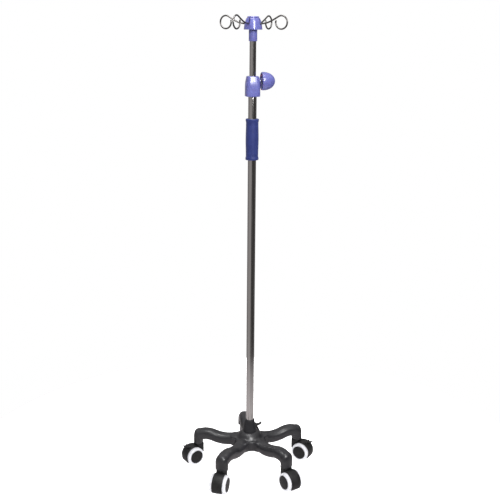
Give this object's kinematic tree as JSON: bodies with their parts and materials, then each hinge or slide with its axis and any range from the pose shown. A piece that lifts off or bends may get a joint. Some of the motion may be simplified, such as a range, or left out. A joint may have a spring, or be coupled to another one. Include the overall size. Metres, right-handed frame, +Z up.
{
  "type": "wheeled iv pole",
  "caption": "Wheeled drip stand: star base on twin-wheel casters, telescopic steel mast with clamp knob and hand grip, turning head with folding bag hooks.",
  "frame": {"origin": "on the mast's axis, at floor level under the casters", "axes": "+Z up along the mast, +X to the clamp knob's side, +Y to the back"},
  "size_m": [0.5678, 0.5349, 1.8536],
  "materials": {
    "polished_steel": "mirror-polished stainless tube",
    "hook_wire": "polished stainless wire",
    "violet_plastic": "glossy moulded plastic, violet blue",
    "blue_rubber": "matt soft-touch rubber, royal blue",
    "charcoal_plastic": "satin moulded plastic, charcoal",
    "collar_rubber": "matt black rubber",
    "caster_plastic": "finely textured black plastic",
    "pale_tyre": "pale grey non-marking tyre",
    "bush_plastic": "natural acetal",
    "zinc_steel": "bright zinc-plated steel"
  },
  "bodies": {
    "base": {"star_base": "charcoal_plastic", "base_collar": "collar_rubber", "lower_tube": "polished_steel", "tube_insert": "zinc_steel", "mast_bolt": "zinc_steel", "bolt_washer": "zinc_steel", "clamp_body": "violet_plastic", "clamp_bush": "bush_plastic", "hand_grip": "blue_rubber", "rear_right_caster_stem": "zinc_steel", "rear_caster_stem": "zinc_steel", "rear_left_caster_stem": "zinc_steel", "front_left_caster_stem": "zinc_steel", "front_right_caster_stem": "zinc_steel"},
    "rear_right_caster": {"rear_right_caster_hood": "caster_plastic", "rear_right_caster_axle": "zinc_steel"},
    "rear_right_left_wheel": {"rear_right_caster_left_wheel": "caster_plastic", "rear_right_caster_left_tyre": "pale_tyre"},
    "rear_right_right_wheel": {"rear_right_caster_right_wheel": "caster_plastic", "rear_right_caster_right_tyre": "pale_tyre"},
    "rear_right_pedal": {"rear_right_caster_pedal": "caster_plastic"},
    "rear_caster": {"rear_caster_hood": "caster_plastic", "rear_caster_axle": "zinc_steel"},
    "rear_left_wheel": {"rear_caster_left_wheel": "caster_plastic", "rear_caster_left_tyre": "pale_tyre"},
    "rear_right_wheel": {"rear_caster_right_wheel": "caster_plastic", "rear_caster_right_tyre": "pale_tyre"},
    "rear_pedal": {"rear_caster_pedal": "caster_plastic"},
    "rear_left_caster": {"rear_left_caster_hood": "caster_plastic", "rear_left_caster_axle": "zinc_steel"},
    "rear_left_left_wheel": {"rear_left_caster_left_wheel": "caster_plastic", "rear_left_caster_left_tyre": "pale_tyre"},
    "rear_left_right_wheel": {"rear_left_caster_right_wheel": "caster_plastic", "rear_left_caster_right_tyre": "pale_tyre"},
    "rear_left_pedal": {"rear_left_caster_pedal": "caster_plastic"},
    "front_left_caster": {"front_left_caster_hood": "caster_plastic", "front_left_caster_axle": "zinc_steel"},
    "front_left_left_wheel": {"front_left_caster_left_wheel": "caster_plastic", "front_left_caster_left_tyre": "pale_tyre"},
    "front_left_right_wheel": {"front_left_caster_right_wheel": "caster_plastic", "front_left_caster_right_tyre": "pale_tyre"},
    "front_right_caster": {"front_right_caster_hood": "caster_plastic", "front_right_caster_axle": "zinc_steel"},
    "front_right_left_wheel": {"front_right_caster_left_wheel": "caster_plastic", "front_right_caster_left_tyre": "pale_tyre"},
    "front_right_right_wheel": {"front_right_caster_right_wheel": "caster_plastic", "front_right_caster_right_tyre": "pale_tyre"},
    "pad": {"pressure_pad": "bush_plastic"},
    "knob": {"clamp_knob": "violet_plastic", "clamp_screw": "zinc_steel"},
    "mast_guide": {"guide_bush": "bush_plastic"},
    "head": {"upper_tube": "polished_steel", "hub_sleeve": "violet_plastic", "hook_hub": "violet_plastic", "hub_cap": "violet_plastic", "hook_pivot_ring": "zinc_steel"},
    "hook_1": {"hook_1": "hook_wire"},
    "hook_2": {"hook_2": "hook_wire"},
    "hook_3": {"hook_3": "hook_wire"},
    "hook_4": {"hook_4": "hook_wire"}
  },
  "joints": [
    {"name": "rear_right_caster_swivel", "type": "hinge", "parent": "base", "child": "rear_right_caster", "pos_m": [0.2034, 0.09141, 0.084], "axis": [0, 0, 1], "continuous": true},
    {"name": "rear_right_left_wheel_spin", "type": "hinge", "parent": "rear_right_caster", "child": "rear_right_left_wheel", "pos_m": [0.22938, 0.07641, 0.0375], "axis": [0.5, 0.866, 0], "continuous": true},
    {"name": "rear_right_right_wheel_spin", "type": "hinge", "parent": "rear_right_caster", "child": "rear_right_right_wheel", "pos_m": [0.22938, 0.07641, 0.0375], "axis": [0.5, 0.866, 0], "continuous": true},
    {"name": "rear_right_pedal_press", "type": "hinge", "parent": "rear_right_caster", "child": "rear_right_pedal", "pos_m": [0.24853, 0.06536, 0.07909], "axis": [0.5, 0.866, 0], "range_deg": [0, 14]},
    {"name": "rear_caster_swivel", "type": "hinge", "parent": "base", "child": "rear_caster", "pos_m": [-0.02408, 0.2217, 0.084], "axis": [0, 0, 1], "continuous": true},
    {"name": "rear_left_wheel_spin", "type": "hinge", "parent": "rear_caster", "child": "rear_left_wheel", "pos_m": [0.00546, 0.2269, 0.0375], "axis": [-0.1736, 0.9848, 0], "continuous": true},
    {"name": "rear_right_wheel_spin", "type": "hinge", "parent": "rear_caster", "child": "rear_right_wheel", "pos_m": [0.00546, 0.2269, 0.0375], "axis": [-0.1736, 0.9848, 0], "continuous": true},
    {"name": "rear_pedal_press", "type": "hinge", "parent": "rear_caster", "child": "rear_pedal", "pos_m": [0.02724, 0.23075, 0.07909], "axis": [-0.1736, 0.9848, 0], "range_deg": [0, 14]},
    {"name": "rear_left_caster_swivel", "type": "hinge", "parent": "base", "child": "rear_left_caster", "pos_m": [-0.21829, 0.0456, 0.084], "axis": [0, 0, 1], "continuous": true},
    {"name": "rear_left_left_wheel_spin", "type": "hinge", "parent": "rear_left_caster", "child": "rear_left_left_wheel", "pos_m": [-0.24286, 0.0284, 0.0375], "axis": [0.5736, -0.8192, 0], "continuous": true},
    {"name": "rear_left_right_wheel_spin", "type": "hinge", "parent": "rear_left_caster", "child": "rear_left_right_wheel", "pos_m": [-0.24286, 0.0284, 0.0375], "axis": [0.5736, -0.8192, 0], "continuous": true},
    {"name": "rear_left_pedal_press", "type": "hinge", "parent": "rear_left_caster", "child": "rear_left_pedal", "pos_m": [-0.26098, 0.01571, 0.07909], "axis": [0.5736, -0.8192, 0], "range_deg": [0, 14]},
    {"name": "front_left_caster_swivel", "type": "hinge", "parent": "base", "child": "front_left_caster", "pos_m": [-0.11083, -0.19351, 0.084], "axis": [0, 0, 1], "continuous": true},
    {"name": "front_left_left_wheel_spin", "type": "hinge", "parent": "front_left_caster", "child": "front_left_left_wheel", "pos_m": [-0.11909, -0.22235, 0.0375], "axis": [0.9613, -0.2756, 0], "continuous": true},
    {"name": "front_left_right_wheel_spin", "type": "hinge", "parent": "front_left_caster", "child": "front_left_right_wheel", "pos_m": [-0.11909, -0.22235, 0.0375], "axis": [0.9613, -0.2756, 0], "continuous": true},
    {"name": "front_right_caster_swivel", "type": "hinge", "parent": "base", "child": "front_right_caster", "pos_m": [0.14979, -0.1652, 0.084], "axis": [0, 0, 1], "continuous": true},
    {"name": "front_right_left_wheel_spin", "type": "hinge", "parent": "front_right_caster", "child": "front_right_left_wheel", "pos_m": [0.16657, -0.19007, 0.0375], "axis": [0.829, 0.5592, 0], "continuous": true},
    {"name": "front_right_right_wheel_spin", "type": "hinge", "parent": "front_right_caster", "child": "front_right_right_wheel", "pos_m": [0.16657, -0.19007, 0.0375], "axis": [0.829, 0.5592, 0], "continuous": true},
    {"name": "pad_travel", "type": "slide", "parent": "base", "child": "pad", "axis": [0.9816, 0.1908, 0], "range_m": [0, 0.0026]},
    {"name": "knob_turn", "type": "hinge", "parent": "pad", "child": "knob", "pos_m": [0.03927, 0.00763, 1.6096], "axis": [0.9816, 0.1908, 0], "range_deg": [0, 720]},
    {"name": "mast_slide", "type": "slide", "parent": "base", "child": "mast_guide", "axis": [0, 0, 1], "range_m": [-0.125, 0.49]},
    {"name": "mast_turn", "type": "hinge", "parent": "mast_guide", "child": "head", "pos_m": [0, 0, 1.7996], "axis": [0, 0, 1], "continuous": true},
    {"name": "hook_1_fold", "type": "hinge", "parent": "head", "child": "hook_1", "pos_m": [0.0095, 0.01645, 1.8216], "axis": [0.866, -0.5, 0], "range_deg": [0, 75]},
    {"name": "hook_2_fold", "type": "hinge", "parent": "head", "child": "hook_2", "pos_m": [-0.01645, 0.0095, 1.8216], "axis": [0.5, 0.866, 0], "range_deg": [0, 75]},
    {"name": "hook_3_fold", "type": "hinge", "parent": "head", "child": "hook_3", "pos_m": [-0.0095, -0.01645, 1.8216], "axis": [-0.866, 0.5, 0], "range_deg": [0, 75]},
    {"name": "hook_4_fold", "type": "hinge", "parent": "head", "child": "hook_4", "pos_m": [0.01645, -0.0095, 1.8216], "axis": [-0.5, -0.866, 0], "range_deg": [0, 75]}
  ],
  "couplings": [
    {"joint": "pad_travel", "follows": "knob_turn", "m_per_rad": 0.00019894}
  ]
}
